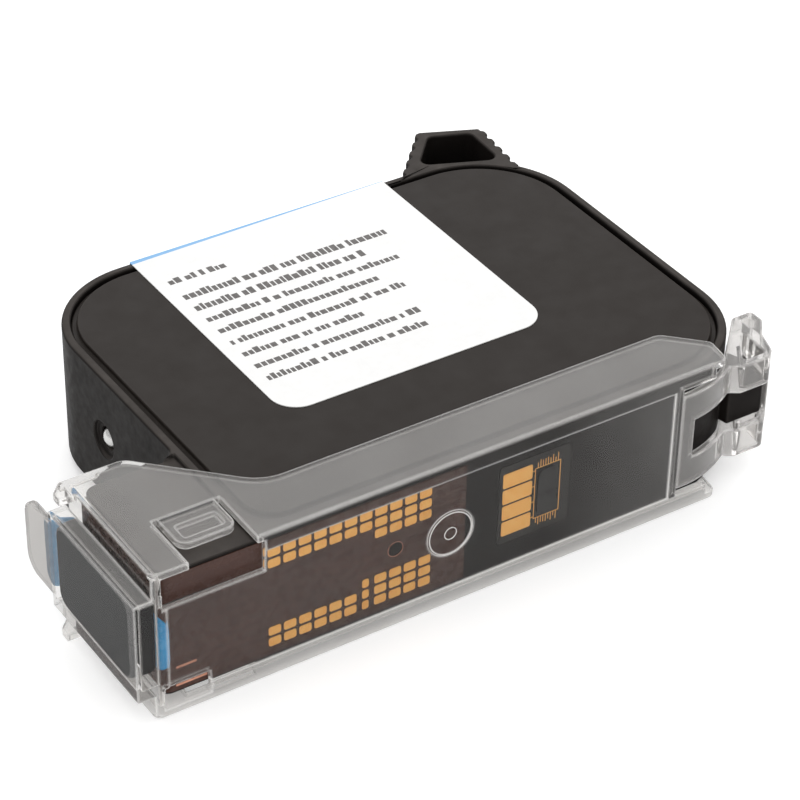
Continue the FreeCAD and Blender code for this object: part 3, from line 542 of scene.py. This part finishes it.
# Material slot and its finish. plain and brushed take a pale tone, a deep tone, a grain or stretch, and
# the span of roughness.
finishes = {
    "frame_black": blackFrame(frameLook),
    "cover_grey": coverGrey(coverLook),
    "label_paper": labelPaper(labelLook),
    "liner_plastic": plain("linerPlastic", (0.66, 0.65, 0.61), (0.58, 0.57, 0.53), 0.4 * mm, (0.35, 0.5)),
    "bag_film": plain("bagFilm", (0.50, 0.50, 0.51), (0.38, 0.38, 0.39), 1.2 * mm, (0.15, 0.35), 0.6,
                      bumpDepth=0.06 * mm),
    "steel": brushed("brightSteel", (0.62, 0.62, 0.61), (0.50, 0.50, 0.49), (0.15, 3, 3), (0.18, 0.32)),
    "spring_steel": brushed("springSteel", (0.46, 0.46, 0.47), (0.33, 0.33, 0.34), (0.15, 3, 3), (0.22, 0.4)),
    "steel_mesh": wovenMesh(meshLook),
    "resin_black": plain("castResin", (0.020, 0.019, 0.019), (0.012, 0.012, 0.012), 0.6 * mm, (0.22, 0.4),
                         bumpDepth=0.008 * mm, Specular_IOR_Level=0.2),
    "silicon": plain("silicon", (0.10, 0.10, 0.13), (0.06, 0.06, 0.08), 0.3 * mm, (0.06, 0.16), 0.6),
    "gold_contact": goldPlate(goldLook),
    "polyimide": polyimideFilm(filmLook),
    "copper": plain("bareCopper", (0.72, 0.36, 0.25), (0.52, 0.24, 0.17), 0.4 * mm, (0.25, 0.42), 0.9),
    "board_black": plain("solderMask", (0.019, 0.017, 0.016), (0.013, 0.012, 0.011), 0.4 * mm, (0.34, 0.48),
                         Specular_IOR_Level=0.2),
    "tape_blue": blueTape(tapeLook),
    "clear_plastic": clearPlastic("clearPlastic", capLook),
    "seal_rubber": plain("sealRubber", (0.011, 0.010, 0.011), (0.006, 0.006, 0.007), 0.5 * mm, (0.42, 0.6),
                         Specular_IOR_Level=0.04),
}
latchPlastic = clearPlastic("latchPlastic", latchLook)


def dressNodes():
    # Each node takes the finish of its material slot in the record.
    for part in frame["record"]["subparts"]:
        mesh = nodes[part["node"]].data
        mesh.materials.clear()
        mesh.materials.append(finishes[part["material_slot"]])


makeCamera(cameraView)
makeStudio(studio)
dressNodes()
print("camera, light and finishes set")


# Moulded parts with their edges rounded: node, then its body, slot and edge radius.
mouldedEdges = {
    "body_frame": ("cartridge", "frame_black", 0.22 * mm),
    "cover_upper": ("cartridge", "cover_grey", 0.18 * mm),
    "cover_lower": ("cartridge", "cover_grey", 0.18 * mm),
    "cap_shell": ("cap", "clear_plastic", 0.16 * mm),
    "cap_latch": ("latch", "clear_plastic", 0.20 * mm),
    "snap_tongue_upper": ("tongue_upper", "clear_plastic", 0.16 * mm),
    "snap_tongue_lower": ("tongue_lower", "clear_plastic", 0.16 * mm),
    "cap_seal": ("cap", "seal_rubber", 0.45 * mm),
}

rounding = {
    "steps": 2,
    "turn": 28,  # degrees from which an edge counts as sharp
    "merge": 0.04 * mm,
    "shortest": 0.02 * mm,
    "flat": 0.8,  # degrees under which two faces are joined as one
    "faceWeight": 50,
}


def settleStrays(piece, skin, reach, limits):
    # Applies the rolled edges, and puts the few corners that ran off past reach back on the
    # sharp skin.
    rolled = bpy.data.meshes.new_from_object(piece.evaluated_get(bpy.context.evaluated_depsgraph_get()))
    tree = BVHTree.FromPolygons([v.co for v in skin.vertices], [f.vertices for f in skin.polygons])
    flat = np.empty(len(rolled.vertices) * 3, np.float32)
    rolled.vertices.foreach_get("co", flat)
    points = flat.reshape(-1, 3)
    nearest = [tree.find_nearest(Vector(p)) for p in points]
    stray = np.array([hit[3] for hit in nearest]) > reach
    points[stray] = np.array([hit[0] for hit in nearest])[stray]
    np.clip(points, *limits, out=points)
    rolled.vertices.foreach_set("co", points.ravel())
    rolled.update()
    piece.modifiers.clear()
    piece.data = rolled
    print(piece.name, "strays put back:", int(stray.sum()))


def roundedCopy(node, body, slotName, radius, kit):
    # The node's faces merged into one skin, flat ones joined, then every sharp edge rolled to radius.
    turn = math.radians(kit["turn"])
    mesh = nodes[node].data.copy()
    skin = bmesh.new()
    skin.from_mesh(mesh)
    bmesh.ops.remove_doubles(skin, verts=skin.verts, dist=kit["merge"])
    bmesh.ops.dissolve_degenerate(skin, dist=kit["shortest"], edges=skin.edges)
    bmesh.ops.dissolve_limit(skin, angle_limit=math.radians(kit["flat"]), verts=skin.verts, edges=skin.edges)
    skin.to_mesh(mesh)
    skin.free()
    piece = bpy.data.objects.new(node + "_moulded", mesh)
    bpy.context.scene.collection.objects.link(piece)
    mesh.polygons.foreach_set("use_smooth", np.ones(len(mesh.polygons), bool))
    mesh.set_sharp_from_angle(angle=turn)
    edge = piece.modifiers.new("edgeRound", "BEVEL")
    edge.width, edge.segments = radius, kit["steps"]
    edge.limit_method, edge.angle_limit = "ANGLE", turn
    edge.use_clamp_overlap, edge.loop_slide = False, False
    mesh.materials.clear()
    mesh.materials.append(latchPlastic if node == "cap_latch" else finishes[slotName])
    settleStrays(piece, nodes[node].data, radius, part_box(node))
    flatten = piece.modifiers.new("flatFaces", "WEIGHTED_NORMAL")
    flatten.mode, flatten.weight, flatten.keep_sharp = "FACE_AREA", kit["faceWeight"], True
    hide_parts(node)
    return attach(piece, body)


for node, (body, slotName, radius) in mouldedEdges.items():
    roundedCopy(node, body, slotName, radius, rounding)
print("moulded parts rounded")


# Each spring, and the joint that draws its plate in.
springs = {"bow_spring_upper": "plate_upper_draw", "bow_spring_lower": "plate_lower_draw"}


def flexingSpring(node):
    # The spring's skin, copied unchanged and carried by the cartridge in place of the node.
    piece = bpy.data.objects.new(node + "_flexing", nodes[node].data.copy())
    bpy.context.scene.collection.objects.link(piece)
    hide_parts(node)
    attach(piece, "cartridge")
    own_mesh(piece)


for node, jointName in springs.items():
    flexingSpring(node)


def addPiece(name, points, faces, material, body, slotName, smooth=False):
    mesh = bpy.data.meshes.new(name)
    mesh.from_pydata(points.tolist(), [], faces.tolist())
    mesh.polygons.foreach_set("use_smooth", np.full(len(mesh.polygons), smooth))
    mesh.update()
    mesh.materials.append(material)
    piece = bpy.data.objects.new(name, mesh)
    bpy.context.scene.collection.objects.link(piece)
    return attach(piece, body)


def slabs(low, high):
    # Closed boxes, one for each row of low and high corners: corner k takes high where its bit is set.
    bits = np.array([[k & 1, k >> 1 & 1, k >> 2 & 1] for k in range(8)])
    points = low[:, None, :] * (1 - bits) + high[:, None, :] * bits
    sides = np.array([(0, 2, 3, 1), (4, 5, 7, 6), (0, 1, 5, 4), (2, 6, 7, 3), (0, 4, 6, 2), (1, 3, 7, 5)])
    faces = sides[None] + 8 * np.arange(len(low))[:, None, None]
    return points.reshape(-1, 3), faces.reshape(-1, 4)


labelPrint = {
    "left": -13.7 * mm,
    "firstRow": 16.9 * mm,
    "titleGap": 0.9 * mm,  # the first row stands a little off the rest
    "pitch": 2.83 * mm,
    "height": 1.05 * mm,
    "thick": 0.012 * mm,
    "gap": 0.17 * mm,
    "wordGap": 0.62 * mm,
    "wordShare": 0.19,  # share of the gaps that end a word
    "markWidths": (0.42, 0.86),  # in mm
    "rises": (0.0, 0.32, 0.0),  # in mm, above the row's height
    "riseShares": (0.62, 0.30, 0.08),
    "lightInset": 0.09 * mm,
    "shortMark": 0.6,  # in mm: a row of these, with spareMarks more, is long enough
    "spareMarks": 6,
    # length of each row in mm, and whether it is heavy
    "rows": [
        (8.7, 0), (29.6, 1), (24.3, 1),
        (27.2, 0), (23.0, 0), (25.4, 0),
        (16.9, 0), (23.3, 0), (22.7, 0),
    ],
    "seed": 7,
}


def inkMarks(kit):
    # Rows of word-like dashes with no letters in them: each dash is cut into short marks whose widths
    # and heights come from a seeded draw, and a word gap follows every few marks.
    draw = np.random.default_rng(kit["seed"])
    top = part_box("label")[1].z
    low, high = [], []
    for index, (length, bold) in enumerate(kit["rows"]):
        count = int(length / kit["shortMark"]) + kit["spareMarks"]
        widths = draw.uniform(*kit["markWidths"], count) * mm
        spaces = np.where(draw.random(count) < kit["wordShare"], kit["wordGap"], kit["gap"])
        starts = kit["left"] + np.concatenate(([0], np.cumsum(widths + spaces)[:-1]))
        kept = starts + widths < kit["left"] + length * mm
        starts, widths = starts[kept], widths[kept]
        rise = draw.choice(kit["rises"], len(starts), p=kit["riseShares"]) * mm
        base = kit["firstRow"] - index * kit["pitch"] - (kit["titleGap"] if index else 0)
        inset = 0.0 if bold else kit["lightInset"]
        low.append(np.stack([starts, np.full_like(starts, base + inset), np.full_like(starts, top)], 1))
        high.append(np.stack([starts + widths, base + kit["height"] - inset + rise,
                              np.full_like(starts, top + kit["thick"])], 1))
    return slabs(np.concatenate(low), np.concatenate(high))


printInk = plain("printInk", (0.115, 0.105, 0.10), (0.085, 0.078, 0.075), 0.2 * mm, (0.4, 0.6))
addPiece("label_print", *inkMarks(labelPrint), printInk, "cartridge", "label_paper")

chipLines = {
    "width": 0.10 * mm,
    "thick": 0.02 * mm,
    "ring": 0.32 * mm,  # clear space between the resin and the line round it
    "stubs": 9,
    "stubLength": 1.15 * mm,
    "shortestStub": 0.35,  # as a share of stubLength
    "stubStep": 1.7,  # their lengths run through a sine by this much each, in radians
    "stubStart": 0.4,
    "keys": 4,
}


def chipTraces(kit):
    # Plated lines on the board: four sides of a frame round the resin, short stubs off its top and
    # bottom at an even pitch, and a feed from each contact to the frame.
    resinLow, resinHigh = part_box("chip_resin")
    keysLow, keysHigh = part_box("chip_contacts")
    half = kit["width"] / 2
    left, right = resinLow.x - kit["ring"], resinHigh.x + kit["ring"]
    low, high = resinLow.z - kit["ring"], resinHigh.z + kit["ring"]
    spans = [
        (left, low, right, low),
        (left, high, right, high),
        (left, low, left, high),
        (right, low, right, high),
    ]
    pitch = (right - left) / (kit["stubs"] + 1)
    for k in range(kit["stubs"]):
        place = left + pitch * (k + 1)
        share = abs(math.sin(kit["stubStep"] * k + kit["stubStart"]))
        reach = kit["stubLength"] * (kit["shortestStub"] + (1 - kit["shortestStub"]) * share)
        spans += [(place, low - reach, place, low), (place, high, place, high + reach)]
    keyPitch = (keysHigh.z - keysLow.z) / kit["keys"]
    for k in range(kit["keys"]):
        level = keysLow.z + keyPitch * (k + 0.5)
        spans.append((keysHigh.x, level, left, level))
    ends = np.array(spans)
    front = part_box("chip_board")[0].y
    lows = np.stack([ends[:, 0] - half, np.full(len(ends), front - kit["thick"]), ends[:, 1] - half], 1)
    highs = np.stack([ends[:, 2] + half, np.full(len(ends), front), ends[:, 3] + half], 1)
    return slabs(lows, highs)


addPiece("chip_traces", *chipTraces(chipLines), finishes["gold_contact"], "cartridge", "gold_contact")

tapeRun = {
    "thick": 0.08 * mm,
    "faceX": -41.97 * mm,  # middle of the film on the nozzle face
    "frontY": -30.97 * mm,  # and on the contact face
    "cornerRadius": 1.37 * mm,
    "frontTurn": 72,  # degrees of the corner that the film goes round
    "leavesAt": -12.9 * mm,  # where the tail lifts off, just past the seal
    "tailX": -44.62 * mm,
    "tailStop": -9.9 * mm,
    "low": 5.33 * mm,
    "highFront": 12.6 * mm,
    "highTail": 14.93 * mm,
    "endRound": 1.5 * mm,
    "bendShare": 0.55,  # share of the tail over which it moves out to tailX
    "across": 25,
    "cornerPoints": 21,
    "facePoints": 30,
    "tailPoints": 32,
}


def tapeFilm(kit):
    # A path in plan carried up through the film's height: most of a quarter turn round the corner,
    # straight along the nozzle face, then an S bend out to the end wall. Top and bottom draw in as a
    # quarter circle over the last endRound of each end, and the top falls evenly towards the front.
    corner, across = kit["cornerRadius"], kit["across"]
    middle = np.array([kit["faceX"] + corner, kit["frontY"] + corner])
    turn = np.linspace(math.radians(kit["frontTurn"] - 180), -math.pi, kit["cornerPoints"])
    face = np.linspace(middle[1], kit["leavesAt"], kit["facePoints"])[1:]
    tail = np.linspace(0, 1, kit["tailPoints"])[1:]
    bend = np.clip(tail / kit["bendShare"], 0, 1)
    drift = bend * bend * (3 - 2 * bend)
    path = np.concatenate([
        middle + corner * np.stack([np.cos(turn), np.sin(turn)], 1),
        np.stack([np.full_like(face, kit["faceX"]), face], 1),
        np.stack([kit["faceX"] + (kit["tailX"] - kit["faceX"]) * drift,
                  kit["leavesAt"] + (kit["tailStop"] - kit["leavesAt"]) * tail], 1),
    ])
    run = np.concatenate(([0], np.cumsum(np.linalg.norm(np.diff(path, axis=0), axis=1))))
    toEnd = np.clip(np.minimum(run, run[-1] - run) / kit["endRound"], 0, 1)
    inset = kit["endRound"] * (1 - np.sqrt(1 - (1 - toEnd) ** 2))
    low = kit["low"] + inset
    high = np.interp(run, (0, run[-1]), (kit["highFront"], kit["highTail"])) - inset
    z = low[:, None] + (high - low)[:, None] * np.linspace(0, 1, across)[None, :]
    points = np.stack([np.repeat(path[:, :1], across, 1), np.repeat(path[:, 1:], across, 1), z], -1)
    i, j = np.meshgrid(np.arange(len(path) - 1), np.arange(across - 1), indexing="ij")
    faces = np.stack([i * across + j, i * across + j + 1, (i + 1) * across + j + 1, (i + 1) * across + j], -1)
    return points.reshape(-1, 3), faces.reshape(-1, 4)


tapeBlue = finishes["tape_blue"]
tape = addPiece("nozzle_tape_film", *tapeFilm(tapeRun), tapeBlue, "cartridge", "tape_blue", True)
wall = tape.modifiers.new("filmWall", "SOLIDIFY")
wall.thickness, wall.offset = tapeRun["thick"], 0
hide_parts("nozzle_tape")

gateMark = {
    "x": -5.1 * mm,
    "z": 10.125 * mm,
    "sink": 0.15 * mm,
    "rings": {"gate_ring_outer": (2.85 * mm, 0.07 * mm), "gate_ring_inner": (0.80 * mm, 0.06 * mm)},
}

alignHole = {
    "padLength": 1.6 * mm,
    "column": 0.8,  # share of the way along the contact columns
    "radius": 0.95 * mm,
    "rim": 0.045 * mm,
}


def ring(centre, radius, tube, around=72, across=10):
    # A ring lying in a face that looks along -Y: at turn u round it and v round its bead, the point is
    # (radius + tube cos v) from the middle, and tube sin v in front of the face.
    u = np.linspace(0, 2 * math.pi, around, endpoint=False)[:, None]
    v = np.linspace(0, 2 * math.pi, across, endpoint=False)[None, :]
    reach = radius + tube * np.cos(v)
    points = np.stack([centre[0] + reach * np.cos(u), centre[1] - tube * np.sin(v) + 0 * u,
                       centre[2] + reach * np.sin(u)], -1).reshape(-1, 3)
    i, j = np.meshgrid(np.arange(around), np.arange(across), indexing="ij")
    nextI, nextJ = (i + 1) % around, (j + 1) % across
    faces = np.stack([i * across + j, i * across + nextJ, nextI * across + nextJ, nextI * across + j], -1)
    return points, faces.reshape(-1, 4)


def addRing(name, centre, radius, tube, body, slotName):
    return addPiece(name, *ring(centre, radius, tube), finishes[slotName], body, slotName, True)


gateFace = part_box("cap_shell")[0].y + gateMark["sink"]
for ringName, (radius, tube) in gateMark["rings"].items():
    addRing(ringName, (gateMark["x"], gateFace, gateMark["z"]), radius, tube, "cap", "clear_plastic")

padsLow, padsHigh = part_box("contact_pads")
columns = padsHigh.x - padsLow.x - alignHole["padLength"]
holeX = padsLow.x + alignHole["padLength"] / 2 + alignHole["column"] * columns
holeZ = (padsLow.z + padsHigh.z) / 2
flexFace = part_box("flex_circuit")[0].y
addRing("align_rim", (holeX, flexFace, holeZ), alignHole["radius"] + alignHole["rim"], alignHole["rim"],
        "cartridge", "copper")
print("print, chip lines, rings and tape made")
